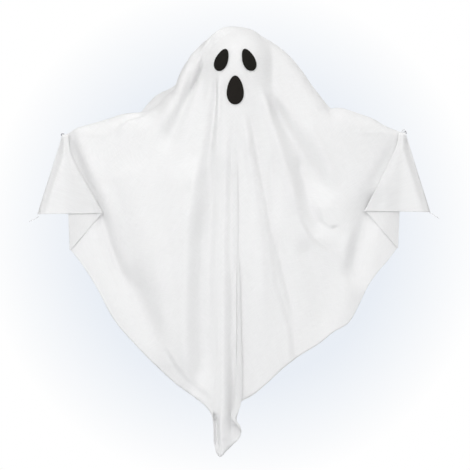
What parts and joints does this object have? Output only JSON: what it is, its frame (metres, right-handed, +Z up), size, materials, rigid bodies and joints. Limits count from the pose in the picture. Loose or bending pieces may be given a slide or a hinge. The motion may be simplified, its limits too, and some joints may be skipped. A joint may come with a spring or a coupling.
{
  "type": "hanging ghost decoration",
  "caption": "Small hanging ghost: a square white cloth draped over a foam ball and a wire arm bar, with black felt eyes and mouth",
  "frame": {"origin": "the crown of the cloth, where the ghost is hung up", "axes": "+Z up, the face looks along -Y, +X is to the viewer's right"},
  "size_m": [0.3756, 0.0841, 0.4097],
  "materials": {
    "white_cloth": "thin woven polyester, matt with a slight sheen",
    "white_foam": "expanded polystyrene beads",
    "steel_wire": "bright drawn wire",
    "black_felt": "pressed felt, matt",
    "thread": "sewing thread"
  },
  "bodies": {
    "root": {"cloth": "white_cloth", "head_ball": "white_foam", "arm_wire": "steel_wire", "left_eye": "black_felt", "right_eye": "black_felt", "mouth": "black_felt", "left_tie": "thread", "right_tie": "thread"}
  },
  "joints": []
}
